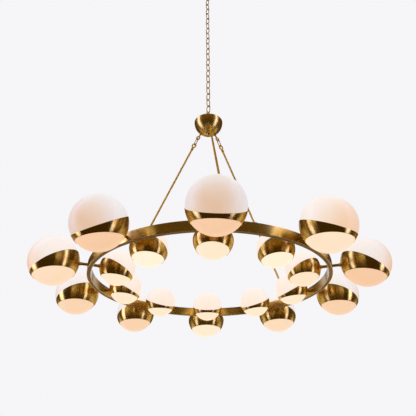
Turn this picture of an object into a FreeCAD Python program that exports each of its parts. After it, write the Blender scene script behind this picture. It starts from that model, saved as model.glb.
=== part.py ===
import FreeCAD, Part
import math
import os

Vec = FreeCAD.Vector
origin = Vec(0, 0, 0)
along_x = Vec(1, 0, 0)
along_y = Vec(0, 1, 0)
along_z = Vec(0, 0, 1)

# Lengths are in millimetres and angles in degrees. The ceiling is the plane z = 0, and the
# chandelier hangs below it on the Z axis. The first arm points along -Y, and a bearing is
# measured from there towards +X.

# Clearances
seat_gap = 0.3
thread_play = 0.1
close_play = 0.05
hole_play = 0.2

# Threaded tube and its hexagon nuts, at the ceiling and inside the hub
thread_diameter = 10.0
thread_bore = 6.4
nut_across_flats = 16.0
nut_height = 6.0

# Ceiling fitting
bracket_width = 24.0
bracket_thickness = 3.0
bracket_end_room = 14.0
ceiling_screw_spacing = 80.0
ceiling_screw_hole = 5.5
nipple_inset = 1.0
canopy_diameter = 152.0
canopy_wall = 1.2
collar_diameter = 22.0
collar_height = 8.0
collar_chamfer = 1.2
pad_margin = 2.0

# Cast loops that the chain hangs between
loop_wire = 6.0
loop_width = 26.0
loop_sink = 2.0
boss_diameter = 16.0
boss_height = 12.0
boss_chamfer = 1.5
boss_floor = 3.0
lead_way = 5.0

# Chain
link_count = 23
link_wire = 4.8
link_width = 27.0
link_pitch = 46.0
chain_twist = 45.0

# Hub
hub_diameter = 152.0
hub_wall = 1.5
hub_height = 897.0
lid_thickness = 1.5
lid_step = 3.0
finial_diameter = 18.0
finial_flange = 3.0
finial_dome = 8.0
finial_floor = 2.5
block_length = 36.0
block_width = 20.0
block_height = 16.0
block_offset = 34.0
block_well = 4.0
block_well_depth = 5.0
block_poles = 3

# Rubber bushes where the supply enters the hub and the ring
bush_bore = 7.0
bush_wall = 2.0
bush_flange = 2.5
bush_flange_height = 2.0
bush_offset = 26.0
bush_bearing = 11.0

# Eye studs, links and suspension rods
rod_bearing = 5.0
rod_spread = 124.0
eye_dip = 51.4
eye_reach = 26.0
eye_wire = 7.0
eye_width = 26.0
rod_eye_width = 30.0
eye_stud_diameter = 8.0
eye_collar_diameter = 12.0
eye_collar_height = 4.0
eye_nut_across_flats = 13.0
eye_nut_height = 5.0
eye_stud_end = 2.0
eye_spacing = 50.0
eye_link_wire = 4.5
eye_link_room = 0.8
rod_diameter = 10.0
ferrule_diameter = 13.5
ferrule_length = 16.0
tongue_thickness = 6.0
tongue_width = 13.0
tongue_length = 18.0

# Lugs on the ring
lug_base = 4.0
lug_margin = 1.5
lug_cheek = 4.5
lug_stud_diameter = 6.0
lug_nut_room = 2.0
lug_nut_height = 4.0
pin_diameter = 6.0
pin_head_diameter = 9.0
pin_head_height = 2.0

# Ring
ring_diameter = 1070.0
ring_width = 18.0
ring_height = 40.0
ring_wall = 2.0
cover_thickness = 2.0
harness_diameter = 5.0
harness_rise = 9.8
harness_room = 0.7

# Arms, measured from the ring's face to the cup at each end
arm_count = 10
arm_diameter = 11.6
outer_arm_length = 33.5
inner_arm_length = 30.0
arm_bore = 8.0
arm_block_length = 24.0
cover_screw_diameter = 4.0
cover_screw_head = 7.6
cover_screw_length = 12.0

# Lamps: the larger globes outside the ring and the smaller ones inside it
outer_globe_diameter = 200.0
inner_globe_diameter = 148.0
globe_wall = 3.0
globe_mouth = 40.0
cup_wall = 1.2
cup_tilt = 28.0
outer_cup_drop = 11.5
inner_cup_drop = 3.5
outer_opening_tilt = 7.0
inner_opening_tilt = 4.5
outer_cup_floor = 60.0
inner_cup_floor = 43.5
cup_ferrule_diameter = 16.4
cup_ferrule_tip = 13.4
cup_ferrule_length = 8.0
holder_diameter = 22.0
holder_length = 22.0
holder_socket_depth = 8.0
holder_thread_depth = 9.0
bulb_diameter = 16.0
bulb_length = 48.0

# Sizes that follow from those above
thread_radius = thread_diameter / 2
threaded_hole = thread_radius + thread_play
canopy_radius = canopy_diameter / 2
hub_radius = hub_diameter / 2
loop_radius = (loop_width - loop_wire) / 2
link_bend = (link_width - link_wire) / 2
link_rise = link_pitch + link_wire + seat_gap
eye_radius = (eye_width - eye_wire) / 2
rod_eye_radius = (rod_eye_width - eye_wire) / 2
eye_link_width = eye_wire + 2 * (eye_link_wire + eye_link_room)
ring_outer = ring_diameter / 2
ring_inner = ring_outer - ring_width
ring_middle = ring_outer - ring_width / 2
lug_radial = ring_width - 2 * lug_margin
arm_radius = arm_diameter / 2
arm_hole = arm_radius + thread_play
outer_globe_radius = outer_globe_diameter / 2
inner_globe_radius = inner_globe_diameter / 2
outer_lamp = ring_outer + outer_arm_length + outer_globe_radius + seat_gap + cup_wall
inner_lamp = ring_inner - inner_arm_length - inner_globe_radius - seat_gap - cup_wall
arm_bearings = [360.0 / arm_count * k for k in range(arm_count)]
rod_bearings = [rod_bearing, rod_bearing + rod_spread, rod_bearing - rod_spread]


# Shapes that several pieces share

def rod_between(radius, start, end):
    return Part.makeCylinder(radius, (end - start).Length, start, end - start)


def tube_between(radius, bore, start, end):
    return rod_between(radius, start, end).cut(rod_between(bore, start, end))


def turned_profile(points):
    outline = Part.makePolygon(points + points[:1])
    return Part.Face(Part.Wire(outline)).revolve(origin, along_z, 360)


def hexagon_nut(across_flats, height, bore):
    corner = across_flats / math.sqrt(3)
    angles = [math.radians(60 * k) for k in range(7)]
    outline = [Vec(corner * math.cos(a), corner * math.sin(a), 0) for a in angles]
    prism = Part.Face(Part.makePolygon(outline)).extrude(Vec(0, 0, height))
    return prism.cut(Part.makeCylinder(bore, height))


def pad_depth(radius, pad):
    return math.sqrt(radius ** 2 - pad ** 2)


def arc_point(radius, start, end):
    middle = (start + end).normalize()
    return middle * radius


def spun_bowl(radius, wall, pad, hole):
    # A hemisphere with its rim at z = 0 and a flat pad with a hole at its lower pole.
    inside = radius - wall
    floor = pad_depth(radius, pad)
    rim_out = Vec(radius, 0, 0)
    pad_out = Vec(pad, 0, -floor)
    pad_in = Vec(math.sqrt(inside ** 2 - (floor - wall) ** 2), 0, wall - floor)
    rim_in = Vec(inside, 0, 0)
    hole_low = Vec(hole, 0, -floor)
    hole_high = Vec(hole, 0, wall - floor)
    edges = [
        Part.Arc(rim_out, arc_point(radius, rim_out, pad_out), pad_out).toShape(),
        Part.makeLine(pad_out, hole_low),
        Part.makeLine(hole_low, hole_high),
        Part.makeLine(hole_high, pad_in),
        Part.Arc(pad_in, arc_point(inside, pad_in, rim_in), rim_in).toShape(),
        Part.makeLine(rim_in, rim_out),
    ]
    return Part.Face(Part.Wire(edges)).revolve(origin, along_z, 360)


def oval_link(wire_radius, bend, rise):
    # A closed oval of round wire in the XZ plane, centred on the origin.
    leg = rise / 2 - bend
    low = Vec(bend, 0, -leg)
    high = Vec(bend, 0, leg)
    section_low = Part.Face(Part.Wire(Part.makeCircle(wire_radius, low, along_z)))
    section_high = Part.Face(Part.Wire(Part.makeCircle(wire_radius, high, along_z)))
    right_leg = section_low.extrude(high - low)
    left_leg = right_leg.copy()
    left_leg.translate(Vec(-2 * bend, 0, 0))
    top_bend = section_high.revolve(Vec(0, 0, leg), along_y, -180)
    low_bend = section_low.revolve(Vec(0, 0, -leg), along_y, 180)
    return right_leg.fuse([top_bend, left_leg, low_bend])


def turned(shape, bearing):
    # A piece made on the +X side, carried round to its bearing.
    copy = shape.copy()
    copy.rotate(origin, along_z, bearing - 90)
    return copy


def moved(shape, offset):
    copy = shape.copy()
    copy.translate(offset)
    return copy


def around(shape, bearings):
    return [turned(shape, bearing) for bearing in bearings]


# Ceiling fitting

def ceiling_bracket():
    # The strap that is screwed to the ceiling, with round ends that clear the canopy.
    length = 2 * (canopy_radius - canopy_wall - bracket_end_room)
    straight = length - bracket_width
    low = Vec(-straight / 2, -bracket_width / 2, -bracket_thickness)
    strap = Part.makeBox(straight, bracket_width, bracket_thickness, low)
    ends = []
    holes = [Part.makeCylinder(threaded_hole, bracket_thickness, Vec(0, 0, -bracket_thickness))]
    for side in (-1, 1):
        end = Vec(side * straight / 2, 0, -bracket_thickness)
        ends.append(Part.makeCylinder(bracket_width / 2, bracket_thickness, end))
        screw = Vec(side * ceiling_screw_spacing / 2, 0, -bracket_thickness)
        holes.append(Part.makeCylinder(ceiling_screw_hole / 2, bracket_thickness, screw))
    return strap.fuse(ends).removeSplitter().cut(holes)


def canopy():
    pad = collar_diameter / 2 + pad_margin
    return spun_bowl(canopy_radius, canopy_wall, pad, thread_radius + hole_play)


def canopy_floor():
    return -pad_depth(canopy_radius, collar_diameter / 2 + pad_margin)


def canopy_collar():
    # The ring nut that holds the canopy up against the ceiling.
    top = canopy_floor()
    collar = Part.makeCylinder(collar_diameter / 2, collar_height, Vec(0, 0, top - collar_height))
    rims = [e for e in collar.Edges if isinstance(e.Curve, Part.Circle)]
    collar = collar.makeChamfer(collar_chamfer, rims)
    return collar.cut(Part.makeCylinder(threaded_hole, collar_height, Vec(0, 0, top - collar_height)))


def cast_loop():
    # A tapped boss with its top at z = 0 and a ring below it in the XZ plane. A hole through the
    # boss lets the supply leads out into the ring.
    boss = Part.makeCylinder(boss_diameter / 2, boss_height, Vec(0, 0, -boss_height))
    rims = [e for e in boss.Edges if isinstance(e.Curve, Part.Circle) and e.Curve.Center.z < -boss_height / 2]
    boss = boss.makeChamfer(boss_chamfer, rims)
    ring = Part.makeTorus(loop_radius, loop_wire / 2, Vec(0, 0, loop_centre()), along_y)
    bore_depth = boss_height - boss_floor
    bore = Part.makeCylinder(threaded_hole, bore_depth, Vec(0, 0, -bore_depth))
    lead_hole = Part.makeCylinder(lead_way / 2, boss_height + loop_wire, Vec(0, 0, -boss_height - loop_wire))
    return boss.fuse(ring).cut([bore, lead_hole])


def loop_centre():
    return loop_sink - boss_height - loop_radius


def canopy_loop_top():
    return canopy_floor() - collar_height


def canopy_loop():
    loop = moved(cast_loop(), Vec(0, 0, canopy_loop_top()))
    loop.rotate(origin, along_z, chain_twist + 90)
    return loop


def ceiling_nipple():
    bottom = canopy_loop_top() - (boss_height - boss_floor)
    return tube_between(thread_radius, thread_bore / 2, Vec(0, 0, bottom), Vec(0, 0, -nipple_inset))


def nipple_nut():
    nut = hexagon_nut(nut_across_flats, nut_height, threaded_hole)
    return moved(nut, Vec(0, 0, -bracket_thickness - nut_height))


# Chain

def chain_bars():
    # Heights of the wire's centre at each lower bend that the next piece hangs on.
    bars = [canopy_loop_top() + loop_centre() - loop_radius]
    upper_wire = loop_wire
    for _ in range(link_count):
        bars.append(bars[-1] + (upper_wire + link_wire) / 2 + seat_gap - link_rise)
        upper_wire = link_wire
    return bars


def chain_links():
    # Each link hangs on the one above it and is turned a quarter turn from it.
    links = {}
    link = oval_link(link_wire / 2, link_bend, link_rise)
    for number, bar in enumerate(chain_bars()[1:], 1):
        piece = moved(link, Vec(0, 0, bar + link_rise / 2))
        piece.rotate(origin, along_z, chain_twist + 90 * (number + 1))
        links[f"chain_link_{number:02d}"] = piece
    return links


# Hub

def hub_loop_bend():
    return chain_bars()[-1] + (link_wire + loop_wire) / 2 + seat_gap


def lid_top():
    return hub_loop_bend() - loop_radius + loop_centre()


def hub_rim():
    return lid_top() - lid_thickness


def ring_plane():
    return hub_rim() - hub_height


def hub_loop():
    loop = cast_loop()
    loop.rotate(origin, along_x, 180)
    loop.translate(Vec(0, 0, lid_top()))
    loop.rotate(origin, along_z, chain_twist + 90 * (link_count + 2))
    return loop


def hub_lid():
    # A flat lid that rests on the bowl's rim, with a step that centres it inside.
    rim = hub_rim()
    disc = Part.makeCylinder(hub_radius, lid_thickness, Vec(0, 0, rim))
    step_radius = pad_depth(hub_radius - hub_wall, lid_step) - seat_gap
    step = Part.makeCylinder(step_radius, lid_step, Vec(0, 0, rim - lid_step))
    full = lid_thickness + lid_step
    low = rim - lid_step
    stem_hole = Part.makeCylinder(threaded_hole, full, Vec(0, 0, low))
    bush_hole = Part.makeCylinder(bush_body() + thread_play, full, Vec(-bush_offset, 0, low))
    return disc.fuse(step).removeSplitter().cut([stem_hole, bush_hole])


def hub_pad():
    return finial_diameter / 2 + pad_margin


def eye_direction():
    dip = math.radians(eye_dip)
    return Vec(math.cos(dip), 0, -math.sin(dip))


def hub_bowl():
    bowl = spun_bowl(hub_radius, hub_wall, hub_pad(), thread_radius + hole_play)
    out = eye_direction()
    hole_radius = eye_stud_diameter / 2 + hole_play
    hole = rod_between(hole_radius, out * (hub_radius / 2), out * (hub_radius + hub_wall))
    bowl = bowl.cut(around(hole, rod_bearings))
    return moved(bowl, Vec(0, 0, hub_rim()))


def finial_top():
    return hub_rim() - pad_depth(hub_radius, hub_pad())


def hub_finial():
    # The domed cap nut below the bowl.
    top = finial_top()
    radius = finial_diameter / 2
    flange = Part.makeCylinder(radius, finial_flange, Vec(0, 0, top - finial_flange))
    crown = radius - finial_floor / 2
    ball_radius = (crown ** 2 + finial_dome ** 2) / (2 * finial_dome)
    ball = Part.makeSphere(ball_radius, Vec(0, 0, top - finial_flange - finial_dome + ball_radius))
    keep = Part.makeCylinder(radius, finial_dome, Vec(0, 0, top - finial_flange - finial_dome))
    bore_depth = finial_flange + finial_dome - finial_floor
    bore = Part.makeCylinder(threaded_hole, bore_depth, Vec(0, 0, top - bore_depth))
    return flange.fuse(ball.common(keep)).cut(bore)


def hub_stem():
    # The threaded rod that draws the loop, lid, bowl and finial together.
    bottom = finial_top() - (finial_flange + finial_dome - finial_floor)
    top = lid_top() + boss_height - boss_floor
    return rod_between(thread_radius, Vec(0, 0, bottom), Vec(0, 0, top))


def terminal_block():
    # The connector strip under the lid, with a screw well over each pole.
    top = hub_rim() - lid_step
    corner = Vec(block_offset - block_width / 2, -block_length / 2, top - block_height)
    block = Part.makeBox(block_width, block_length, block_height, corner)
    wells = []
    for pole in range(block_poles):
        across = (pole + 0.5) * block_length / block_poles - block_length / 2
        foot = Vec(block_offset, across, top - block_height)
        wells.append(Part.makeCylinder(block_well / 2, block_well_depth, foot))
    return block.cut(wells)


def bush_body():
    return bush_bore / 2 + bush_wall


def cable_bush(depth):
    # A flanged rubber bush with the underside of its flange at z = 0.
    body = Part.makeCylinder(bush_body(), depth + bush_flange_height, Vec(0, 0, -depth))
    flange = Part.makeCylinder(bush_body() + bush_flange, bush_flange_height)
    bore = Part.makeCylinder(bush_bore / 2, depth + bush_flange_height, Vec(0, 0, -depth))
    return body.fuse(flange).removeSplitter().cut(bore)


def cable_bushes():
    at_hub = moved(cable_bush(lid_thickness + lid_step), Vec(-bush_offset, 0, lid_top()))
    at_ring = moved(cable_bush(ring_wall), Vec(ring_middle, 0, ring_top()))
    return [at_hub, turned(at_ring, rod_bearing + bush_bearing)]


# Suspension

def hub_eyes():
    # A stud through the bowl's wall with a shoulder outside it and a ring at its end.
    out = eye_direction()
    centre = out * (hub_radius + eye_reach)
    inner_end = hub_radius - hub_wall - eye_nut_height - eye_stud_end
    stud = rod_between(eye_stud_diameter / 2, out * inner_end, centre - out * eye_radius)
    shoulder = rod_between(eye_collar_diameter / 2, out * hub_radius, out * (hub_radius + eye_collar_height))
    ring = Part.makeTorus(eye_radius, eye_wire / 2, centre, along_y)
    eye = moved(stud.fuse([shoulder, ring]), Vec(0, 0, hub_rim()))
    return around(eye, rod_bearings)


def eye_nuts():
    # The nut's corners touch the inside of the bowl, so its face lies a little further in.
    corner = eye_nut_across_flats / math.sqrt(3)
    face = pad_depth(hub_radius - hub_wall - close_play, corner)
    nut = hexagon_nut(eye_nut_across_flats, eye_nut_height, eye_stud_diameter / 2 + thread_play)
    nut.translate(Vec(0, 0, face - eye_nut_height))
    nut.rotate(origin, along_y, 90 + eye_dip)
    return around(moved(nut, Vec(0, 0, hub_rim())), rod_bearings)


def ring_top():
    return ring_plane() + ring_height / 2


def pin_centre():
    tongue_end = tongue_width / 2
    return Vec(ring_middle, 0, ring_top() + lug_base + tongue_end + seat_gap)


def hub_eye_centre():
    return eye_direction() * (hub_radius + eye_reach) + Vec(0, 0, hub_rim())


def rod_lean():
    # The angle of the rod's line from the vertical, leaning in towards the hub.
    line = hub_eye_centre() - pin_centre()
    return math.degrees(math.atan2(-line.x, line.z))


def rod_length():
    # From the pin to the centre of the rod's own eye.
    return (hub_eye_centre() - pin_centre()).Length - eye_spacing


def on_rod_line(shape):
    # A piece made along +Z from the pin, laid on the line from the pin to the hub's eye.
    copy = shape.copy()
    copy.rotate(origin, along_y, -rod_lean())
    copy.translate(pin_centre())
    return copy


def eye_links():
    # One oval link through each hub eye and the eye of its rod.
    inset = (eye_wire + eye_link_wire) / 2 + seat_gap
    reach_up = eye_radius - inset
    reach_down = rod_eye_radius - inset
    rise = eye_spacing - reach_up - reach_down
    link = oval_link(eye_link_wire / 2, (eye_link_width - eye_link_wire) / 2, rise)
    link.rotate(origin, along_z, 90)
    link.translate(Vec(0, 0, rod_length() + reach_down + rise / 2))
    return around(on_rod_line(link), rod_bearings)


def suspension_rod():
    # A round rod with a flat tongue on the pin at its foot and a ferruled eye at its head.
    head = rod_length()
    side = Vec(0, -tongue_thickness / 2, 0)
    tongue_end = Part.makeCylinder(tongue_width / 2, tongue_thickness, side, along_y)
    corner = Vec(-tongue_width / 2, -tongue_thickness / 2, 0)
    tongue = Part.makeBox(tongue_width, tongue_thickness, tongue_length, corner)
    top = Vec(0, 0, head - rod_eye_radius)
    shank = rod_between(rod_diameter / 2, Vec(0, 0, tongue_length - tongue_thickness), top)
    ferrule = rod_between(ferrule_diameter / 2, top - Vec(0, 0, ferrule_length), top)
    eye = Part.makeTorus(rod_eye_radius, eye_wire / 2, Vec(0, 0, head), along_y)
    hole_radius = pin_diameter / 2 + thread_play
    pin_hole = Part.makeCylinder(hole_radius, tongue_thickness, side, along_y)
    rod = tongue_end.fuse([tongue, shank, ferrule, eye])
    return on_rod_line(rod.cut(pin_hole))


def suspension_rods():
    rod = suspension_rod()
    names = ("suspension_rod_front", "suspension_rod_right", "suspension_rod_left")
    return {name: turned(rod, bearing) for name, bearing in zip(names, rod_bearings)}


def lug_span():
    return tongue_thickness + 2 * seat_gap + 2 * lug_cheek


def ring_lugs():
    # A forked lug that stands on the ring, with a stud down through its top.
    pin = pin_centre()
    top = ring_top()
    span = lug_span()
    base = Part.makeBox(lug_radial, span, lug_base, Vec(ring_middle - lug_radial / 2, -span / 2, top))
    pieces = []
    for side in (-1, 1):
        inner = side * (tongue_thickness / 2 + seat_gap)
        low = min(inner, inner + side * lug_cheek)
        corner = Vec(ring_middle - lug_radial / 2, low, top)
        pieces.append(Part.makeBox(lug_radial, lug_cheek, pin.z - top, corner))
        pieces.append(Part.makeCylinder(lug_radial / 2, lug_cheek, Vec(pin.x, low, pin.z), along_y))
    stud_foot = Vec(ring_middle, 0, top - ring_wall - lug_nut_height)
    pieces.append(rod_between(lug_stud_diameter / 2, stud_foot, Vec(ring_middle, 0, top)))
    hole = Part.makeCylinder(pin_diameter / 2 + thread_play, span, Vec(pin.x, -span / 2, pin.z), along_y)
    return around(base.fuse(pieces).removeSplitter().cut(hole), rod_bearings)


def lug_pins():
    pin = pin_centre()
    half = lug_span() / 2
    shank = Part.makeCylinder(pin_diameter / 2, 2 * half, Vec(pin.x, -half, pin.z), along_y)
    heads = []
    for start in (-half - pin_head_height, half):
        foot = Vec(pin.x, start, pin.z)
        heads.append(Part.makeCylinder(pin_head_diameter / 2, pin_head_height, foot, along_y))
    return around(shank.fuse(heads), rod_bearings)


def lug_nuts():
    # A nut under the channel's web, with room for a thin spanner at each wall.
    across_flats = ring_width - 2 * ring_wall - 2 * lug_nut_room
    nut = hexagon_nut(across_flats, lug_nut_height, lug_stud_diameter / 2 + thread_play)
    nut.rotate(origin, along_z, 30)
    under = ring_top() - ring_wall - lug_nut_height
    return around(moved(nut, Vec(ring_middle, 0, under)), rod_bearings)


# Ring

def ring_channel():
    # An inverted channel, open below, with holes for the arms, the lugs and the supply.
    top = ring_top()
    bottom = top - ring_height
    inner_side = ring_inner + ring_wall
    outer_side = ring_outer - ring_wall
    web = top - ring_wall
    profile = [
        Vec(ring_outer, 0, bottom),
        Vec(ring_outer, 0, top),
        Vec(ring_inner, 0, top),
        Vec(ring_inner, 0, bottom),
        Vec(inner_side, 0, bottom),
        Vec(inner_side, 0, web),
        Vec(outer_side, 0, web),
        Vec(outer_side, 0, bottom),
    ]
    channel = turned_profile(profile)
    margin = ring_wall
    start = Vec(ring_inner - margin, 0, ring_plane())
    arm = rod_between(arm_hole, start, start + Vec(ring_width + 2 * margin, 0, 0))
    lug_low = Vec(ring_middle, 0, web)
    lug = Part.makeCylinder(lug_stud_diameter / 2 + thread_play, ring_wall, lug_low)
    bush = Part.makeCylinder(bush_body() + thread_play, ring_wall, lug_low)
    holes = around(arm, arm_bearings) + around(lug, rod_bearings)
    holes.append(turned(bush, rod_bearing + bush_bearing))
    return channel.cut(holes)


def cover_screw(play):
    # A countersunk screw pointing up, with its flat head at the bottom of the ring.
    bottom = ring_top() - ring_height
    head = cover_screw_head / 2 + play
    shank = cover_screw_diameter / 2 + play
    cone = head - shank
    foot = Vec(ring_middle, 0, bottom)
    sunk = Part.makeCone(head, shank, cone, foot)
    return sunk.fuse(Part.makeCylinder(shank, cover_screw_length, foot)).removeSplitter()


def cover_screws():
    return around(cover_screw(0.0), arm_bearings)


def ring_cover():
    # The flat plate that closes the channel from below, flush with its edges.
    bottom = ring_top() - ring_height
    inner_edge = ring_inner + ring_wall + hole_play
    outer_edge = ring_outer - ring_wall - hole_play
    disc = Part.makeCylinder(outer_edge, cover_thickness, Vec(0, 0, bottom))
    plate = disc.cut(Part.makeCylinder(inner_edge, cover_thickness, Vec(0, 0, bottom)))
    return plate.cut(around(cover_screw(thread_play), arm_bearings))


def ring_harness():
    # The bundle of leads that runs round inside the ring above the arms.
    height = ring_plane() + harness_rise
    return Part.makeTorus(ring_middle, harness_diameter / 2, Vec(0, 0, height), along_z)


def arm_blocks():
    # The block inside the channel that grips an arm and takes the cover's screw.
    top = ring_top() - ring_wall
    bottom = ring_top() - ring_height + cover_thickness
    inner_side = ring_inner + ring_wall + close_play
    outer_side = ring_outer - ring_wall - close_play
    outline = [
        Vec(inner_side, 0, bottom),
        Vec(outer_side, 0, bottom),
        Vec(outer_side, 0, top),
        Vec(inner_side, 0, top),
    ]
    sweep = math.degrees(arm_block_length / ring_middle)
    face = Part.Face(Part.Wire(Part.makePolygon(outline + outline[:1])))
    face.rotate(origin, along_z, -sweep / 2)
    block = face.revolve(origin, along_z, sweep)
    start = Vec(ring_inner, 0, ring_plane())
    arm = rod_between(arm_radius + close_play, start, start + Vec(ring_width, 0, 0))
    lead_height = Vec(0, 0, ring_plane() + harness_rise)
    lead = Part.makeTorus(ring_middle, harness_diameter / 2 + harness_room, lead_height, along_z)
    return around(block.cut([arm, lead, cover_screw(thread_play)]), arm_bearings)


# Arms and lamps

def cup_inside(globe_radius):
    return globe_radius + seat_gap


def holder_seat(globe_radius):
    # Distance from the globe's centre to the holder's back, whose edge meets the cup.
    return pad_depth(cup_inside(globe_radius) - close_play, holder_diameter / 2)


def arm_tubes():
    inner_end = inner_lamp + holder_seat(inner_globe_radius) - holder_thread_depth
    outer_end = outer_lamp - holder_seat(outer_globe_radius) + holder_thread_depth
    height = ring_plane()
    tube = tube_between(arm_radius, arm_bore / 2, Vec(inner_end, 0, height), Vec(outer_end, 0, height))
    return around(tube, arm_bearings)


def half_space(reach, tilt, drop, sign):
    # The space above or below a plane that leans down towards +X, drop below the centre.
    low = 0.0 if sign > 0 else -2 * reach
    space = Part.makeBox(4 * reach, 4 * reach, 2 * reach, Vec(-2 * reach, -2 * reach, low))
    space.rotate(origin, along_y, tilt)
    normal = Vec(math.sin(math.radians(tilt)), 0, math.cos(math.radians(tilt)))
    space.translate(normal * -drop)
    return space


def tilted_cup(globe_radius, drop, opening_tilt, floor):
    # A spun spherical band, tall beside the stem at -X and narrow on the far side.
    inside = cup_inside(globe_radius)
    outside = inside + cup_wall
    shell = Part.makeSphere(outside).cut(Part.makeSphere(inside))
    above = half_space(outside, cup_tilt, drop, 1)
    below = half_space(outside, opening_tilt, floor, -1)
    stem = rod_between(arm_hole, Vec(-outside - cup_wall, 0, 0), Vec(-inside / 2, 0, 0))
    return shell.cut([above, below, stem])


def outer_cup():
    return tilted_cup(outer_globe_radius, outer_cup_drop, outer_opening_tilt, outer_cup_floor)


def inner_cup():
    return tilted_cup(inner_globe_radius, inner_cup_drop, inner_opening_tilt, inner_cup_floor)


def glass_globe(globe_radius):
    # A blown globe with a round mouth that faces the stem.
    shell = Part.makeSphere(globe_radius).cut(Part.makeSphere(globe_radius - globe_wall))
    mouth = rod_between(globe_mouth / 2, Vec(-globe_radius, 0, 0), origin)
    return shell.cut(mouth)


def cup_ferrule(globe_radius):
    # The tapered collar between the arm and the outside of the cup.
    face = cup_inside(globe_radius) + cup_wall
    tip = Vec(-face - cup_ferrule_length, 0, 0)
    cone = Part.makeCone(cup_ferrule_tip / 2, cup_ferrule_diameter / 2, cup_ferrule_length, tip, along_x)
    return cone.cut(rod_between(arm_hole, tip, Vec(-face, 0, 0)))


def lamp_holder(globe_radius):
    back = Vec(-holder_seat(globe_radius), 0, 0)
    front = back + Vec(holder_length, 0, 0)
    body = rod_between(holder_diameter / 2, back, front)
    thread = rod_between(arm_radius + close_play, back, back + Vec(holder_thread_depth, 0, 0))
    socket_floor = front - Vec(holder_socket_depth, 0, 0)
    socket = rod_between(bulb_diameter / 2 + hole_play, socket_floor, front)
    return body.cut([thread, socket])


def capsule_bulb(globe_radius):
    foot = Vec(holder_length - holder_socket_depth - holder_seat(globe_radius), 0, 0)
    dome = foot + Vec(bulb_length - bulb_diameter / 2, 0, 0)
    body = rod_between(bulb_diameter / 2, foot, dome)
    return body.fuse(Part.makeSphere(bulb_diameter / 2, dome)).removeSplitter()


def at_outer(shape):
    return around(moved(shape, Vec(outer_lamp, 0, ring_plane())), arm_bearings)


def at_inner(shape):
    facing = shape.copy()
    facing.rotate(origin, along_z, 180)
    return around(moved(facing, Vec(inner_lamp, 0, ring_plane())), arm_bearings)


def both_lamps(make):
    return at_outer(make(outer_globe_radius)) + at_inner(make(inner_globe_radius))


def all_nodes():
    nodes = {
        "ceiling_bracket": ceiling_bracket(),
        "ceiling_nipple": ceiling_nipple(),
        "nipple_nut": nipple_nut(),
        "canopy": canopy(),
        "canopy_collar": canopy_collar(),
        "canopy_loop": canopy_loop(),
    }
    nodes.update(chain_links())
    nodes.update({
        "hub_loop": hub_loop(),
        "hub_lid": hub_lid(),
        "hub_bowl": hub_bowl(),
        "hub_stem": hub_stem(),
        "hub_finial": hub_finial(),
        "terminal_block": terminal_block(),
        "cable_bushes": cable_bushes(),
        "hub_eyes": hub_eyes(),
        "eye_nuts": eye_nuts(),
        "eye_links": eye_links(),
    })
    nodes.update(suspension_rods())
    nodes.update({
        "ring_lugs": ring_lugs(),
        "lug_pins": lug_pins(),
        "lug_nuts": lug_nuts(),
        "ring_channel": ring_channel(),
        "ring_cover": ring_cover(),
        "cover_screws": cover_screws(),
        "ring_harness": ring_harness(),
        "arm_blocks": arm_blocks(),
        "arm_tubes": arm_tubes(),
        "outer_cups": at_outer(outer_cup()),
        "inner_cups": at_inner(inner_cup()),
        "outer_globes": at_outer(glass_globe(outer_globe_radius)),
        "inner_globes": at_inner(glass_globe(inner_globe_radius)),
        "cup_ferrules": both_lamps(cup_ferrule),
        "lamp_holders": both_lamps(lamp_holder),
        "bulbs": both_lamps(capsule_bulb),
    })
    return nodes


os.makedirs("parts", exist_ok=True)
for name, made in all_nodes().items():
    solid = Part.makeCompound(made) if isinstance(made, list) else made
    solid.exportStep(os.path.join("parts", name + ".step"))
print("ring plane", round(ring_plane(), 3), "hub rim", round(hub_rim(), 3))
print("chain bars", [round(bar, 3) for bar in chain_bars()])
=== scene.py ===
import math
import bpy
from mathutils import Matrix, Vector


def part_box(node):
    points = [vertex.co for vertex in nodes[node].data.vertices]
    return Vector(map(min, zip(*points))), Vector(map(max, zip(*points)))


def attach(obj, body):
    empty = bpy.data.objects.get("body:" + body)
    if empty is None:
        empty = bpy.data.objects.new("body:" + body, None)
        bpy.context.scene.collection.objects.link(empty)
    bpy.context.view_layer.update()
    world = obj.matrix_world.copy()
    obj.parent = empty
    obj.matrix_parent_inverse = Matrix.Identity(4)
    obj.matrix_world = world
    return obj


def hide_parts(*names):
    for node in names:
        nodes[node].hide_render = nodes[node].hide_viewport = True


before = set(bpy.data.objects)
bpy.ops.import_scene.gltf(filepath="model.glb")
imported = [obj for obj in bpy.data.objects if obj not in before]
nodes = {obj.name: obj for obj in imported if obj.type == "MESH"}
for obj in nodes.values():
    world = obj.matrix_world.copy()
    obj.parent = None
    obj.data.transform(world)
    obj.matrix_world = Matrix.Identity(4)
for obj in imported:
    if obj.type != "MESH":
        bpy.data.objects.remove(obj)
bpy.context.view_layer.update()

fixture = "chandelier"  # body of the hub, ring, arms and lamps
armCount = 10
firstArm = -90.0  # degrees from +X, so it points at the camera's side
print("frame loaded:", len(nodes), "nodes")


# where the ring is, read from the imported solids
ringLow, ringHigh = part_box("ring_channel")
ringPlane = (ringLow.z + ringHigh.z) / 2


# camera at the photograph's place: below the ring, tilted up
cameraSettings = {
    "lens": 38.53,
    "sensor": 36.0,
    "away": 1.8976,  # level distance from the hanging axis
    "below": 0.6964,  # under the ring plane
    "bearing": -0.034,  # round the axis from -Y
    "pitch": 0.5099,
    "yaw": -0.031,
    "roll": -0.0068,
}


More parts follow.
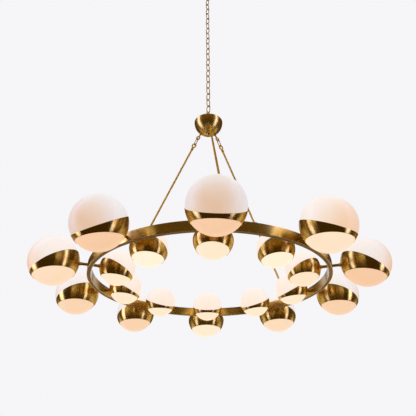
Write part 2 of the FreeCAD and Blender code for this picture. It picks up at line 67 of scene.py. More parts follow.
def makeCamera(s):
    data = bpy.data.cameras.new("photoCamera")
    data.lens = s["lens"]
    data.sensor_width = s["sensor"]
    camera = bpy.data.objects.new("photoCamera", data)
    bpy.context.scene.collection.objects.link(camera)
    aside, forward = s["away"] * math.sin(s["bearing"]), s["away"] * math.cos(s["bearing"])
    place = Vector((aside, -forward, ringPlane - s["below"]))
    turn = Matrix.Rotation(s["yaw"], 4, "Z") @ Matrix.Rotation(math.pi / 2 + s["pitch"], 4, "X")
    camera.matrix_world = Matrix.Translation(place) @ turn @ Matrix.Rotation(s["roll"], 4, "Z")
    bpy.context.scene.camera = camera


makeCamera(cameraSettings)
print("camera placed")


# node helpers
noiseRange = (0.3, 0.7)  # most of a noise texture lies between these


def addNode(tree, kind, inputs=None, **settings):
    node = tree.nodes.new(kind)
    for key, value in settings.items():
        setattr(node, key, value)
    for key, value in (inputs or {}).items():
        if isinstance(value, bpy.types.NodeSocket):
            tree.links.new(value, node.inputs[key])
        else:
            node.inputs[key].default_value = value
    return node


def newGroup(name, inputs, outputs):
    group = bpy.data.node_groups.new(name, "ShaderNodeTree")
    for label, kind, value in inputs:
        socket = group.interface.new_socket(label, in_out="INPUT", socket_type=kind)
        if value is not None:
            socket.default_value = value
    for label, kind in outputs:
        group.interface.new_socket(label, in_out="OUTPUT", socket_type=kind)
    return group, addNode(group, "NodeGroupInput"), addNode(group, "NodeGroupOutput")


def maths(tree, operation, first, second):
    return addNode(tree, "ShaderNodeMath", {0: first, 1: second}, operation=operation).outputs[0]


def spread(tree, value, low, high, toLow=0.0, toHigh=1.0):
    limits = {"Value": value, "From Min": low, "From Max": high, "To Min": toLow, "To Max": toHigh}
    return addNode(tree, "ShaderNodeMapRange", limits).outputs[0]


def noise(tree, where, scale, detail, **more):
    return addNode(tree, "ShaderNodeTexNoise", {"Vector": where, "Scale": scale, "Detail": detail, **more}).outputs[0]


def carried(tree, name, output="Fac"):  # what the mesh's points carry
    return addNode(tree, "ShaderNodeAttribute", attribute_name=name).outputs[output]


def mixColour(tree, share, one, two, kind="MIX"):
    pair = {"A": one, "B": two}
    pair = {key: (*value, 1) if isinstance(value, tuple) else value for key, value in pair.items()}
    inputs = {"Factor": share, **pair}
    return addNode(tree, "ShaderNodeMix", inputs, data_type="RGBA", blend_type=kind).outputs["Result"]


def cross(tree, one, two):
    return addNode(tree, "ShaderNodeVectorMath", {0: one, 1: two}, operation="CROSS_PRODUCT").outputs[0]


def useGroup(tree, group, inputs):
    return addNode(tree, "ShaderNodeGroup", inputs, node_tree=group)


def newMaterial(name, sampling="NONE"):
    material = bpy.data.materials.new(name)
    material.use_nodes = True
    material.cycles.emission_sampling = sampling  # whether a glow is aimed at as lamps are
    material.node_tree.nodes.clear()
    return material, material.node_tree


def ownSpot(tree, attribute):
    if attribute:  # a place measured from the lamp's own centre
        return carried(tree, attribute, "Vector")
    return addNode(tree, "ShaderNodeTexCoord").outputs["Object"]


# fine lines left by turning or spinning round the upright axis
turnedLinesSettings = {"detail": 2.0, "broadScale": 0.16, "broadShare": 0.65, "fineShare": 0.35}


def makeTurnedLines(s):
    group, entry, leave = newGroup(
        "turnedLines",
        [
            ("Vector", "NodeSocketVector", None),
            ("Lines", "NodeSocketFloat", 400.0),
            ("Wander", "NodeSocketFloat", 2.0),
        ],
        [("Height", "NodeSocketFloat"), ("Tone", "NodeSocketFloat")],
    )
    parts = addNode(group, "ShaderNodeSeparateXYZ", {0: entry.outputs["Vector"]})
    angle = maths(group, "ARCTAN2", parts.outputs["Y"], parts.outputs["X"])
    flat = addNode(group, "ShaderNodeCombineXYZ", {"X": parts.outputs["X"], "Y": parts.outputs["Y"]})
    radius = addNode(group, "ShaderNodeVectorMath", {0: flat.outputs[0]}, operation="LENGTH").outputs["Value"]
    across = maths(group, "MULTIPLY", radius, entry.outputs["Lines"])
    upward = maths(group, "MULTIPLY", parts.outputs["Z"], entry.outputs["Lines"])
    along = maths(group, "MULTIPLY", angle, entry.outputs["Wander"])
    spot = addNode(group, "ShaderNodeCombineXYZ", {"X": along, "Y": across, "Z": upward}).outputs[0]
    fine = noise(group, spot, 1.0, s["detail"])
    broad = noise(group, spot, s["broadScale"], s["detail"])
    shares = [maths(group, "MULTIPLY", broad, s["broadShare"]), maths(group, "MULTIPLY", fine, s["fineShare"])]
    group.links.new(fine, leave.inputs["Height"])
    group.links.new(maths(group, "ADD", *shares), leave.inputs["Tone"])
    return group


# cloudy darkening of old lacquered brass, and small flecks
agedToneSettings = {
    "detail": 5.0, "cloudRough": 0.6, "cloudRange": (0.36, 0.68),
    "fleckScale": 22.0,  # times finer than the clouds
    "fleckRange": (0.05, 0.16),
}


def makeAgedTone(s):
    group, entry, leave = newGroup(
        "agedTone",
        [
            ("Vector", "NodeSocketVector", None),
            ("Size", "NodeSocketFloat", 14.0),
            ("Amount", "NodeSocketFloat", 0.5),
        ],
        [("Mask", "NodeSocketFloat"), ("Fleck", "NodeSocketFloat")],
    )
    where, size = entry.outputs["Vector"], entry.outputs["Size"]
    cloud = noise(group, where, size, s["detail"], Roughness=s["cloudRough"])
    mask = maths(group, "MULTIPLY", spread(group, cloud, *s["cloudRange"]), entry.outputs["Amount"])
    fine = maths(group, "MULTIPLY", size, s["fleckScale"])
    speck = addNode(group, "ShaderNodeTexVoronoi", {"Vector": where, "Scale": fine}).outputs["Distance"]
    group.links.new(mask, leave.inputs["Mask"])
    group.links.new(spread(group, speck, *s["fleckRange"], 1.0, 0.0), leave.inputs["Fleck"])
    return group


turnedLines = makeTurnedLines(turnedLinesSettings)
agedTone = makeAgedTone(agedToneSettings)


def makeBrass(name, s):
    material, tree = newMaterial(name)
    where = ownSpot(tree, s["spot"])
    lines = useGroup(tree, turnedLines, {"Vector": where, "Lines": s["lines"], "Wander": s["wander"]})
    aged = useGroup(tree, agedTone, {"Vector": where, "Size": s["cloud"], "Amount": s["aged"]})
    colour = mixColour(tree, aged.outputs["Mask"], s["clean"], s["dark"])
    if s["rim"]:  # painted highlight in the bright colour along each turned edge the mesh marks as rim
        edgeHighlight = maths(tree, "MULTIPLY", carried(tree, "rim"), s["rim"])
        colour = mixColour(tree, edgeHighlight, colour, s["highlightColour"])
    streak = spread(tree, lines.outputs["Tone"], *noiseRange, 1 - s["streak"], 1.0)
    colour = mixColour(tree, 1.0, colour, streak, "MULTIPLY")
    rough = spread(tree, lines.outputs["Tone"], *noiseRange, *s["rough"])
    rough = maths(tree, "ADD", rough, maths(tree, "MULTIPLY", aged.outputs["Mask"], s["agedRough"]))
    relief = {"Strength": s["bump"], "Distance": s["relief"], "Height": lines.outputs["Height"]}
    bump = addNode(tree, "ShaderNodeBump", relief)
    shader = addNode(tree, "ShaderNodeBsdfPrincipled", {
        "Base Color": colour, "Metallic": s["metal"], "Roughness": rough, "Normal": bump.outputs[0],
        "Anisotropic": s["grain"], "Specular Tint": (*s["edge"], 1),
        "Coat Weight": s["lacquer"], "Coat Roughness": s["lacquerRough"],
    })
    if s["grain"]:  # lines run level, so highlights draw out up and down
        normal = addNode(tree, "ShaderNodeNewGeometry").outputs["Normal"]
        level = cross(tree, (0, 0, 1), where)
        toWorld = {"convert_from": "OBJECT", "convert_to": "WORLD"}
        level = addNode(tree, "ShaderNodeVectorTransform", {0: level}, **toWorld).outputs[0]
        tree.links.new(cross(tree, level, normal), shader.inputs["Tangent"])
    addNode(tree, "ShaderNodeOutputMaterial", {"Surface": shader.outputs[0]})
    return material


# the bright colour and the rim weight paint a highlight along each edge the mesh marks as rim
spunBrassSettings = {
    "clean": (0.86, 0.55, 0.125), "dark": (0.70, 0.42, 0.08), "highlightColour": (0.96, 0.74, 0.36),
    "edge": (1.0, 0.82, 0.55),  # tint of a glancing mirror
    "lines": 380.0, "wander": 1.5, "streak": 0.06, "bump": 0.01, "relief": 0.0004,
    "cloud": 8.0, "aged": 0.2, "agedRough": 0.10, "rough": (0.23, 0.26), "grain": 1.0,
    "metal": 1.0, "lacquer": 0.06, "lacquerRough": 0.2, "rim": 0.0, "spot": None,
}
cupBrassSettings = {**spunBrassSettings, "rim": 0.8, "spot": "own"}
shellBrassSettings = {**spunBrassSettings, "rim": 0.8, "rough": (0.30, 0.32), "grain": 0.6}
ringBrassSettings = {
    **spunBrassSettings, "edge": (1.0, 0.95, 0.9), "rough": (0.19, 0.23), "grain": 0.95,
    "lines": 260.0, "wander": 10.0, "cloud": 5.0, "streak": 0.16, "rim": 0.7,
}
barBrassSettings = {
    **spunBrassSettings, "clean": (0.96, 0.56, 0.06), "dark": (0.80, 0.43, 0.04), "edge": (0.9, 0.55, 0.12),
    "cloud": 24.0, "aged": 0.15, "streak": 0.04, "rough": (0.36, 0.42), "grain": 0.0, "lacquer": 0.0, "metal": 0.8,
}
eyeBrassSettings = {
    **barBrassSettings, "clean": (0.78, 0.42, 0.04), "dark": (0.55, 0.28, 0.02), "edge": (0.75, 0.4, 0.05),
}
armBrassSettings = {
    **barBrassSettings, "clean": (0.52, 0.28, 0.03), "dark": (0.38, 0.19, 0.015), "edge": (0.6, 0.34, 0.06),
}
chainBrassSettings = {
    **spunBrassSettings, "clean": (0.74, 0.40, 0.04), "dark": (0.48, 0.24, 0.02), "edge": (0.7, 0.38, 0.05),
    "cloud": 40.0, "rough": (0.28, 0.4), "grain": 0.0, "lacquer": 0.0,
}
dullBrassSettings = {
    **spunBrassSettings, "clean": (0.52, 0.345, 0.16), "dark": (0.38, 0.245, 0.11),
    "rough": (0.45, 0.6), "grain": 0.0, "lacquer": 0.0, "bump": 0.1, "wander": 14.0, "lines": 260.0,
}
spunBrass = makeBrass("spunBrass", spunBrassSettings)
shellBrass = makeBrass("shellBrass", shellBrassSettings)
cupBrass = makeBrass("cupBrass", cupBrassSettings)
ringBrass = makeBrass("ringBrass", ringBrassSettings)
barBrass = makeBrass("barBrass", barBrassSettings)
eyeBrass = makeBrass("eyeBrass", eyeBrassSettings)
armBrass = makeBrass("armBrass", armBrassSettings)
chainBrass = makeBrass("chainBrass", chainBrassSettings)
dullBrass = makeBrass("dullBrass", dullBrassSettings)


# blown opal glass, lit from inside; the mesh carries how near each spot is to the lamp
def makeOpal(name, s):
    material, tree = newMaterial(name)
    where = ownSpot(tree, "own")
    glow, cap, dome, under = (carried(tree, key) for key in ("glow", "cap", "dome", "under"))
    cloud = noise(tree, where, s["cloudScale"], 3.0)
    grain = noise(tree, where, s["grainScale"], 1.0)
    patchy = maths(tree, "MULTIPLY", maths(tree, "SUBTRACT", cloud, 0.5), s["patchy"])
    edge, core = mixColour(tree, dome, *s["edge"]), mixColour(tree, dome, *s["core"])
    light = mixColour(tree, maths(tree, "ADD", glow, patchy), edge, core)
    light = mixColour(tree, cap, light, mixColour(tree, under, *s["cap"]))
    light = mixColour(tree, 1.0, light, spread(tree, grain, *noiseRange, *s["frost"]), "MULTIPLY")
    body = mixColour(tree, grain, s["body"], tuple(c * s["bodyDip"] for c in s["body"]))
    rough = spread(tree, cloud, *noiseRange, *s["rough"])
    bump = addNode(tree, "ShaderNodeBump", {"Strength": s["bump"], "Distance": s["relief"], "Height": grain})
    shader = addNode(tree, "ShaderNodeBsdfPrincipled", {
        "Base Color": body, "Roughness": rough, "IOR": s["ior"], "Specular IOR Level": s["gloss"],
        "Normal": bump.outputs[0], "Emission Color": light, "Emission Strength": 1.0,
    })
    addNode(tree, "ShaderNodeOutputMaterial", {"Surface": shader.outputs[0]})
    return material


opalSettings = {
    "body": (0.45, 0.42, 0.40), "bodyDip": 0.94, "cloudScale": 24.0, "grainScale": 420.0,
    "patchy": 0.25, "frost": (0.96, 1.04), "rough": (0.36, 0.46), "bump": 0.08, "relief": 0.0004,
    "ior": 1.5, "gloss": 0.25,
}
outerOpalSettings = {  # each pair is a weak lamp and a strong one
    **opalSettings,
    "edge": ((0.63, 0.61, 0.62), (0.73, 0.64, 0.59)),
    "core": ((0.56, 0.33, 0.18), (0.72, 0.44, 0.22)),
    "cap": ((0.75, 0.43, 0.215), (0.86, 0.68, 0.48)),
}
innerOpalSettings = {
    **opalSettings,
    "edge": ((0.76, 0.65, 0.58), (0.76, 0.65, 0.58)),
    "core": ((0.78, 0.63, 0.49), (0.78, 0.63, 0.49)),
    "cap": ((0.80, 0.58, 0.36), (0.86, 0.74, 0.53)),
}
outerOpal = makeOpal("outerOpal", outerOpalSettings)
innerOpal = makeOpal("innerOpal", innerOpalSettings)


# plain fittings that are mostly hidden
def makeFitting(name, s):
    material, tree = newMaterial(name)
    aged = useGroup(tree, agedTone, {"Vector": ownSpot(tree, None), "Size": s["cloud"], "Amount": s["aged"]})
    colour = mixColour(tree, aged.outputs["Mask"], s["clean"], s["dark"])
    rough = maths(tree, "ADD", s["rough"], maths(tree, "MULTIPLY", aged.outputs["Mask"], s["agedRough"]))
    relief = {"Strength": s["bump"], "Distance": s["relief"], "Height": aged.outputs["Fleck"]}
    bump = addNode(tree, "ShaderNodeBump", relief)
    shader = addNode(tree, "ShaderNodeBsdfPrincipled", {
        "Base Color": colour, "Metallic": s["metal"], "Roughness": rough, "Normal": bump.outputs[0],
        "Emission Color": (*s["glow"], 1), "Emission Strength": s["power"],
    })
    addNode(tree, "ShaderNodeOutputMaterial", {"Surface": shader.outputs[0]})
    return material


plainFitting = {
    "rough": 0.5, "metal": 0.0, "cloud": 60.0, "aged": 0.5,
    "agedRough": 0.15, "bump": 0.1, "relief": 0.0003, "glow": (0, 0, 0), "power": 0.0,
}
fittingSettings = {  # where each one differs from the plain one
    "zincSteel": {
        "clean": (0.62, 0.62, 0.60), "dark": (0.40, 0.40, 0.38), "rough": 0.35, "metal": 1.0, "aged": 0.7,
    },
    "holderCeramic": {"clean": (0.86, 0.85, 0.81), "dark": (0.74, 0.72, 0.66), "rough": 0.45, "cloud": 50.0},
    "frostedBulb": {
        "clean": (0.95, 0.92, 0.86), "dark": (0.9, 0.85, 0.76), "rough": 0.4, "cloud": 50.0, "aged": 0.4,
        "glow": (1.0, 0.8, 0.55), "power": 1.5,
    },
    "blockPlastic": {"clean": (0.84, 0.83, 0.77), "dark": (0.70, 0.68, 0.60)},
    "bushRubber": {
        "clean": (0.030, 0.030, 0.031), "dark": (0.055, 0.053, 0.05), "rough": 0.6, "cloud": 80.0, "aged": 0.8,
    },
    "leadSleeve": {
        "clean": (0.20, 0.15, 0.08), "dark": (0.12, 0.08, 0.04), "rough": 0.75, "cloud": 120.0, "aged": 0.9,
    },
}
fittings = {name: makeFitting(name, {**plainFitting, **s}) for name, s in fittingSettings.items()}

wearers = (
    (spunBrass, ["hub_bowl", "hub_lid", "canopy", "canopy_collar", "hub_finial", "outer_cups", "inner_cups"]),
    (eyeBrass, ["hub_eyes", "eye_links"]),
    (barBrass, ["suspension_rod_front", "suspension_rod_right", "suspension_rod_left"]),
    (barBrass, ["ring_lugs", "lug_pins", "arm_blocks", "cup_ferrules"]),
    (armBrass, ["arm_tubes"]),
    (ringBrass, ["ring_channel"]),
    (dullBrass, ["ring_cover", "cover_screws"]),
    (outerOpal, ["outer_globes"]),
    (innerOpal, ["inner_globes"]),
    (fittings["zincSteel"], ["ceiling_bracket", "ceiling_nipple", "nipple_nut", "hub_stem", "eye_nuts", "lug_nuts"]),
    (fittings["blockPlastic"], ["terminal_block"]),
    (fittings["bushRubber"], ["cable_bushes"]),
    (fittings["leadSleeve"], ["ring_harness"]),
    (fittings["holderCeramic"], ["lamp_holders"]),
    (fittings["frostedBulb"], ["bulbs"]),
)
finishes = {name: finish for finish, names in wearers for name in names}
for name, node in nodes.items():
    node.data.materials.clear()
    node.data.materials.append(finishes.get(name, chainBrass))  # the chain's links and loops are the rest
print("finishes on the solids")


# mesh helpers: a piece is gathered as points, faces and what each point carries
class Gather:
    def __init__(self):
        self.points, self.faces, self.carried = [], [], {}

    def loop(self, points, **values):
        start = len(self.points)
        self.points.extend(points)
        for key, value in values.items():
            self.carried.setdefault(key, []).extend(value if isinstance(value, list) else [value] * len(points))
        return list(range(start, start + len(points)))

    def skin(self, loops):  # the last loop joins the first
        for one, two in zip(loops, loops[1:] + loops[:1]):
            for i in range(max(len(one), len(two))):  # a loop of one point is a pole
                corners = [one[i % len(one)], one[(i + 1) % len(one)], two[(i + 1) % len(two)], two[i % len(two)]]
                corners = list(dict.fromkeys(corners))
                if len(corners) > 2:
                    self.faces.append(corners)

    def piece(self, name, finish, body, stoodFor):
        mesh = bpy.data.meshes.new(name)
        mesh.from_pydata([tuple(p) for p in self.points], [], self.faces)
        for key, values in self.carried.items():
            vectors = isinstance(values[0], Vector)
            attribute = mesh.attributes.new(key, "FLOAT_VECTOR" if vectors else "FLOAT", "POINT")
            if vectors:
                attribute.data.foreach_set("vector", [c for v in values for c in v])
            else:
                attribute.data.foreach_set("value", values)
        mesh.shade_smooth()
        mesh.materials.append(finish)
        made = bpy.data.objects.new(name, mesh)
        bpy.context.scene.collection.objects.link(made)
        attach(made, body)
        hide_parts(stoodFor)


def circleTurns(steps):
    return [2 * math.pi * i / steps for i in range(steps)]


def softStep(value, low, high):
    share = min(1.0, max(0.0, (value - low) / (high - low)))
    return share * share * (3 - 2 * share)


def lampPlaces(s, inward):
    offX = math.pi / armCount  # the arms nearest X lie half a step off it
    circle = (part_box(s["node"])[1].x - s["radius"]) / math.cos(offX)
    for arm in range(armCount):
        angle = math.radians(360 / armCount * arm + firstArm)
        centre = Vector((circle * math.cos(angle), circle * math.sin(angle), ringPlane))
        yield arm, centre, Matrix.Rotation(angle + (math.pi if inward else 0), 3, "Z")


# lamps: a blown globe with its mouth at the arm, in a spun band cut by two planes of different tilt
outerLamp = {
    "node": "outer_globes", "name": "outerGlobes", "cupNode": "outer_cups", "cupName": "outerCups",
    "radius": 0.100, "wall": 0.003, "mouth": 0.020, "steps": 72, "arcs": 44,
    "mouthLip": (0.0010, 0.0004),  # how far the mouth's edge is rounded out and in
    "glowDip": 30.0, "glowFall": 2.0,
    "capFade": (0.010, 0.003),  # where the underside's light begins and is full, over the cup's lower plane
    "gap": 0.0003, "cupWall": 0.0012, "lip": 0.0004, "cupSteps": 144, "rows": 22,
    "edgeRow": 0.008,  # share of the band's height beside each edge
    "tilt": 28.0, "drop": 0.0115, "openTilt": 7.0, "floor": 0.060,
    # each cup's lean away from its arm and twist round it, in degrees
    "set": [
        (8.5, -1.5), (-1.8, 0.0), (3.5, -2.0), (-2.2, -1.1), (-4.0, -2.7),
        (-2.6, 0.0), (-2.7, 0.1), (-2.5, 3.0), (1.1, 4.1), (5.0, 1.1),
    ],
    # how strongly each bulb lights its dome and its underside, and its degrees to one side
    "lit": [
        (0.0, 0.0, -10), (0.9, 0.7, -12), (0.7, 0.0, 0), (0.6, 0.2, 0), (0.6, 0.5, 0),
        (0.8, 1.0, 0), (0.6, 0.25, 0), (0.6, 0.3, 0), (0.8, 0.5, 0), (0.1, 0.0, 16),
    ],
}
innerLamp = {
    **outerLamp, "node": "inner_globes", "name": "innerGlobes", "cupNode": "inner_cups", "cupName": "innerCups",
    "radius": 0.074, "steps": 64, "arcs": 40, "cupSteps": 112, "rows": 18,
    "drop": 0.0035, "openTilt": 4.5, "floor": 0.0435,
    "set": [
        (2.0, 3.0), (1.0, -2.0), (-1.0, 4.0), (3.5, -3.5), (1.5, 3.0),
        (1.0, 0.0), (0.5, 3.0), (0.0, -2.5), (0.0, 5.0), (0.0, 0.0),
    ],
    "lit": [
        (0.5, 0.5, 0), (0.5, 0.9, 0), (0.5, 0.3, 0), (0.5, 0.5, 0), (0.5, 0.5, 0),
        (0.5, 0.4, 0), (0.5, 0.5, 0), (0.5, 0.5, 0), (0.5, 0.5, 0), (0.5, 1.0, 0),
    ],
}


def cupNormal(tilt, twist):
    lean, roll = math.radians(tilt), math.radians(twist)
    return Vector((math.sin(lean), -math.sin(roll) * math.cos(lean), math.cos(roll) * math.cos(lean)))


# outside from mouth to far pole, inside back again, and the lip between them
def globeProfile(s):
    first = math.asin(s["mouth"] / s["radius"])
    turns = [first + (math.pi - first) * i / s["arcs"] for i in range(s["arcs"])]

    def arc(radius):
        return [(-radius * math.cos(t), radius * math.sin(t)) for t in turns] + [(radius, 0.0)]

    middle, (out, thin) = s["radius"] - s["wall"] / 2, s["mouthLip"]
    lip = (-middle * math.cos(first) - out, middle * math.sin(first) - thin)
    return arc(s["radius"]) + arc(s["radius"] - s["wall"])[::-1] + [lip]


def makeGlobes(s, finish, inward):
    profile = globeProfile(s)
    fadeStart, fadeEnd = (s["floor"] - margin for margin in s["capFade"])
    dip = math.radians(s["glowDip"])
    gather = Gather()
    for arm, centre, turn in lampPlaces(s, inward):
        lean, twist = s["set"][arm]
        seat = cupNormal(s["openTilt"] + lean, twist)
        dome, under, aside = s["lit"][arm]
        aside = math.radians(aside)
        towards = Vector((math.cos(dip) * math.cos(aside), math.cos(dip) * math.sin(aside), -math.sin(dip)))
        loops = []
        for along, across in profile:
            turns = circleTurns(s["steps"] if across > 0 else 1)
            local = [Vector((along, across * math.cos(a), across * math.sin(a))) for a in turns]
            glow = [max(0.0, p.normalized().dot(towards)) ** s["glowFall"] for p in local]
            cap = [softStep(-p.dot(seat), fadeStart, fadeEnd) for p in local]
            own = [turn @ p for p in local]
            points = [centre + p for p in own]
            loops.append(gather.loop(points, own=own, glow=glow, cap=cap, dome=dome, under=under))
        gather.skin(loops)
    gather.piece(s["name"], finish, fixture, s["node"])


def rimLoop(radius, tilt, twist, drop, steps):
    normal = cupNormal(tilt, twist)
    level = (Vector((1, 0, 0)) - normal * normal.x).normalized()
    across = normal.cross(level)
    reach = math.sqrt(radius * radius - drop * drop)
    return [normal * -drop + (level * math.cos(t) + across * math.sin(t)) * reach for t in circleTurns(steps)]


def makeCups(s, finish, inward):
    inside = s["radius"] + s["gap"]
    outside = inside + s["cupWall"]
    middle = (inside + outside) / 2
    beside = s["edgeRow"]
    shares = [0.0, beside] + [i / s["rows"] for i in range(1, s["rows"])] + [1 - beside, 1.0]
    gather = Gather()
    for arm, centre, turn in lampPlaces(s, inward):
        lean, twist = s["set"][arm]

        def lowRim(radius, inset):
            return rimLoop(radius, s["openTilt"] + lean, twist, s["floor"] - inset, s["cupSteps"])

        def highRim(radius, inset):
            return rimLoop(radius, s["tilt"] + lean, twist, s["drop"] + inset, s["cupSteps"])

        def band(radius):
            pairs = list(zip(lowRim(radius, s["lip"]), highRim(radius, s["lip"])))
            return [[a.normalized().slerp(b.normalized(), share) * radius for a, b in pairs] for share in shares]

        # the rows along both lips carry rim 1, where a highlight is painted
        rows = [(lowRim(middle, 0.0), 1.0)]
        rows += [(row, 1.0 if i in (0, len(shares) - 1) else 0.0) for i, row in enumerate(band(outside))]
        rows += [(highRim(middle, 0.0), 1.0)]
        rows += [(row, 0.0) for row in band(inside)[::-1]]
        loops = []
        for row, edge in rows:
            own = [turn @ p for p in row]
            loops.append(gather.loop([centre + p for p in own], own=own, rim=edge))
        gather.skin(loops)
    gather.piece(s["cupName"], finish, fixture, s["cupNode"])


for lamp, glass, inward in ((outerLamp, outerOpal, False), (innerLamp, innerOpal, True)):
    makeGlobes(lamp, glass, inward)
    makeCups(lamp, cupBrass, inward)
print("globes and cups made")


# a closed profile of (radius, height) corners, each rounded between two close support points
def roundedProfile(corners, radius, arcs=4, support=0.3):
    outline = []
    count = len(corners)
    for i in range(count):
        here = Vector(corners[i])
        back = (Vector(corners[i - 1]) - here).normalized()
        ahead = (Vector(corners[(i + 1) % count]) - here).normalized()
        half = math.acos(max(-1.0, min(1.0, back.dot(ahead)))) / 2
        run = radius / math.tan(half)
        centre = here + (back + ahead).normalized() * (radius / math.sin(half))
        outline.append((here + back * (run + radius * support), 0.0))
        start, end = here + back * run - centre, here + ahead * run - centre
        # points on a rounded arc carry 1, where a highlight is painted along the edge
        for k in range(arcs + 1):
            outline.append((centre + start.slerp(end, k / arcs).normalized() * radius, 1.0))
        outline.append((here + ahead * (run + radius * support), 0.0))
    return outline


def spinPiece(name, outline, steps, finish, body, stoodFor):
    gather = Gather()
    loops = []
    for spot, edge in outline:
        points = [Vector((spot.x * math.cos(t), spot.x * math.sin(t), spot.y)) for t in circleTurns(steps)]
        loops.append(gather.loop(points, rim=edge))
    gather.skin(loops)
    gather.piece(name, finish, body, stoodFor)


# ring: an inverted channel with softened edges
ringBand = {"width": 0.018, "wall": 0.002, "edge": 0.0006, "steps": 288}


def makeRing(s):
    outer, inner = ringHigh.y, ringHigh.y - s["width"]
    top, bottom, wall = ringHigh.z, ringLow.z, s["wall"]
    corners = [
        (outer, bottom), (outer, top), (inner, top), (inner, bottom),
        (inner + wall, bottom), (inner + wall, top - wall), (outer - wall, top - wall), (outer - wall, bottom),
    ]
    spinPiece("ringBand", roundedProfile(corners, s["edge"]), s["steps"], ringBrass, fixture, "ring_channel")


makeRing(ringBand)
print("ring made")


# hub and canopy: spun half globes with a flat pad at the pole
hubBowl = {
    "node": "hub_bowl", "name": "hubShell", "wall": 0.0015, "hole": 0.0052, "lip": 0.0004, "arcs": 48, "steps": 160,
    "beside": 0.006,  # radians from an edge to the row beside it
    "padEdge": 0.0006,
}
canopyBowl = {**hubBowl, "node": "canopy", "name": "canopyShell", "wall": 0.0012}


def makeBowl(s, body):
    low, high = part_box(s["node"])
    radius, rim, floor = high.y, high.z, high.z - low.z
    pad = math.sqrt(radius * radius - floor * floor)
    inside = radius - s["wall"]

    def arc(size, drop):
        first, last = s["lip"] / size, math.asin(drop / size)
        turns = [first + (last - first) * i / s["arcs"] for i in range(1, s["arcs"])]
        turns = [first, first + s["beside"]] + turns + [last - s["beside"], last]
        return [Vector((size * math.cos(a), rim - size * math.sin(a))) for a in turns]

    pole = [(pad - s["padEdge"], rim - floor), (s["hole"], rim - floor), (s["hole"], rim - floor + s["wall"])]
    # the lip and the row beside it carry 1, where a highlight is painted
    outline = [(Vector(((radius + inside) / 2, rim)), 1.0)]
    outline += [(spot, 1.0 if i == 0 else 0.0) for i, spot in enumerate(arc(radius, floor))]
    outline += [(Vector(spot), 0.0) for spot in pole]
    outline += [(spot, 0.0) for spot in arc(inside, floor - s["wall"])[::-1]]
    spinPiece(s["name"], outline, s["steps"], shellBrass, body, s["node"])


makeBowl(hubBowl, fixture)
makeBowl(canopyBowl, "ceiling_fitting")
print("hub and canopy made")


# studio: pale floor, near-white surroundings, cards that only the brass mirrors, soft lamps
studio = {
    "paper": (0.922, 0.913, 0.939),  # seen behind the object
    "matte": (0.86, 0.855, 0.87),  # the floor's own colour
    "ambient": 0.32,
    "floorDrop": 2.1,  # under the ring plane
    "floorHalf": 14.0,
    "wallRadius": 3.4,
    "wallTop": 6.6,
    "wallStep": 6.0,  # degrees between the wall's folds, about
    "panelTop": 4.2,
    "panelGap": 0.1,  # from the wall to the panels before it
    "floorCardRise": 0.02,
    "ceilingHalf": 2.0,
    "tones": {
        "dark": (0.046, 0.028, 0.006), "haze": (0.115, 0.076, 0.024), "amber": (0.085, 0.052, 0.015),
        "window": (2.35, 2.5, 5.2), "sky": (0.64, 0.76, 1.15),
    },
    # each stop is a bearing in degrees from the camera's side, a foot over the floor and a tone
    "panel": [(154, 2.9, "amber"), (166, 2.9, "sky"), (177, 2.9, "sky")],
    "upper": [(-71, 2.7, "haze"), (53, 2.7, "haze")],
    "surround": [
        (-180, 1.5, "amber"), (-118, 1.5, "amber"), (-108, 0.02, "amber"),
        (-96, 0.02, "amber"), (-90, 0.02, "window"), (-77, 0.02, "window"), (-71, 0.02, "dark"),
        (53, 0.02, "dark"), (58, 0.02, "window"), (68, 0.02, "window"), (74, 0.02, "amber"),
        (100, 0.02, "amber"), (110, 1.5, "amber"), (180, 1.5, "amber"),
    ],
}
floorLevel = ringPlane - studio["floorDrop"]


def paperMix(tree, rest, paper):
    path = addNode(tree, "ShaderNodeLightPath")
    seen = maths(tree, "MAXIMUM", path.outputs["Is Camera Ray"], path.outputs["Is Glossy Ray"])
    seen = maths(tree, "MAXIMUM", seen, path.outputs["Is Transmission Ray"])
    return addNode(tree, "ShaderNodeMixShader", {0: seen, 1: rest, 2: paper}).outputs[0]


def makeWorld():
    world = bpy.data.worlds.new("studio")
    world.use_nodes = True
    tree = world.node_tree
    tree.nodes.clear()
    soft = addNode(tree, "ShaderNodeBackground", {"Color": (1, 1, 1, 1), "Strength": studio["ambient"]})
    paper = addNode(tree, "ShaderNodeBackground", {"Color": (*studio["paper"], 1), "Strength": 1.0})
    addNode(tree, "ShaderNodeOutputWorld", {"Surface": paperMix(tree, soft.outputs[0], paper.outputs[0])})
    bpy.context.scene.world = world


def stageMesh(name, points, faces, material):
    mesh = bpy.data.meshes.new(name)
    mesh.from_pydata(points, [], faces)
    mesh.materials.append(material)
    made = bpy.data.objects.new(name, mesh)
    bpy.context.scene.collection.objects.link(made)
    return made


def stagePlane(name, half, level, material):
    corners = [(-half, -half, level), (half, -half, level), (half, half, level), (-half, half, level)]
    return stageMesh(name, corners, [(0, 1, 2, 3)], material)


def makeFloor():
    material, tree = newMaterial("floorPaper")
    matte = addNode(tree, "ShaderNodeBsdfDiffuse", {"Color": (*studio["matte"], 1)})
    paper = addNode(tree, "ShaderNodeEmission", {"Color": (*studio["paper"], 1), "Strength": 1.0})
    addNode(tree, "ShaderNodeOutputMaterial", {"Surface": paperMix(tree, matte.outputs[0], paper.outputs[0])})
    stagePlane("floor", studio["floorHalf"], floorLevel, material)


def onlyMirrored(card):
    for ray in ("camera", "diffuse", "transmission", "shadow", "volume_scatter"):
        setattr(card, "visible_" + ray, False)


def cardMaterial(name, colour=None):
    material, tree = newMaterial(name, "FRONT_BACK")
    tone = (*colour, 1) if colour else carried(tree, "tone", "Color")  # plain, or graded along the wall
    glow = addNode(tree, "ShaderNodeEmission", {"Color": tone, "Strength": 1.0})
    addNode(tree, "ShaderNodeOutputMaterial", {"Surface": glow.outputs[0]})
    return material


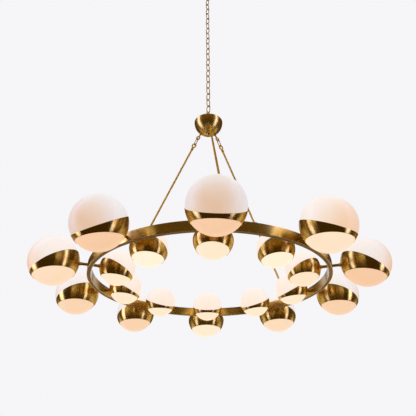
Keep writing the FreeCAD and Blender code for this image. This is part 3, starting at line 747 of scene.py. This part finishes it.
# an upright wall round the object; foot and tone change evenly from stop to stop
def makeWall(name, stops, top, radius, material):
    stops = [(bearing, foot, Vector(studio["tones"][tone])) for bearing, foot, tone in stops]
    folds = []
    for (bearing, foot, tone), (nextBearing, nextFoot, nextTone) in zip(stops, stops[1:]):
        steps = max(1, round((nextBearing - bearing) / studio["wallStep"]))
        for share in (i / steps for i in range(steps)):
            place = (bearing + (nextBearing - bearing) * share, foot + (nextFoot - foot) * share)
            folds.append((*place, tone.lerp(nextTone, share)))
    folds.append(stops[-1])
    points, tones, faces = [], [], []
    for i, (bearing, foot, tone) in enumerate(folds):
        turn = math.radians(bearing)
        for level in (floorLevel + foot, floorLevel + top):
            points.append((radius * math.sin(turn), -radius * math.cos(turn), level))
            tones.extend((*tone, 1.0))
        if i:
            faces.append((2 * i - 2, 2 * i, 2 * i + 1, 2 * i - 1))
    wall = stageMesh(name, points, faces, material)
    wall.data.attributes.new("tone", "FLOAT_COLOR", "POINT").data.foreach_set("color", tones)
    onlyMirrored(wall)


def makeSurround():
    top, radius = studio["wallTop"], studio["wallRadius"]
    graded = cardMaterial("gradedCard")
    makeWall("surround", studio["surround"], top, radius, graded)
    for name, side in (("panelRight", 1), ("panelLeft", -1)):
        stops = sorted((bearing * side, foot, tone) for bearing, foot, tone in studio["panel"])
        makeWall(name, stops, studio["panelTop"], radius - studio["panelGap"], graded)
    makeWall("upperCard", studio["upper"], top, radius - studio["panelGap"], graded)
    dark = cardMaterial("darkCard", studio["tones"]["dark"])
    onlyMirrored(stagePlane("floorCard", radius, floorLevel + studio["floorCardRise"], dark))
    onlyMirrored(stagePlane("ceilingCard", studio["ceilingHalf"], floorLevel + top, dark))


lampSettings = {
    "overhead": {
        "place": (0, 0, 1.8), "aim": (0, 0, -2), "size": (5.0, 5.0), "power": 70.0, "colour": (1, 0.99, 0.98),
    },
    "frontSoft": {
        "place": (-1.5, -4.5, -1.5), "aim": (0, 0, -1.8), "size": (3.0, 3.0), "power": 28.0,
        "colour": (1, 0.99, 0.98),
    },
}


def makeLamp(name, s):
    data = bpy.data.lights.new(name, "AREA")
    data.shape = "RECTANGLE"
    data.size, data.size_y = s["size"]
    data.energy = s["power"]
    data.color = s["colour"]
    lamp = bpy.data.objects.new(name, data)
    bpy.context.scene.collection.objects.link(lamp)
    lamp.location = s["place"]
    lamp.rotation_euler = (Vector(s["aim"]) - Vector(s["place"])).to_track_quat("-Z", "Y").to_euler()
    lamp.visible_glossy = False


makeWorld()
makeFloor()
makeSurround()
for name, s in lampSettings.items():
    makeLamp(name, s)
bpy.context.scene.view_settings.view_transform = "Standard"
print("studio set")
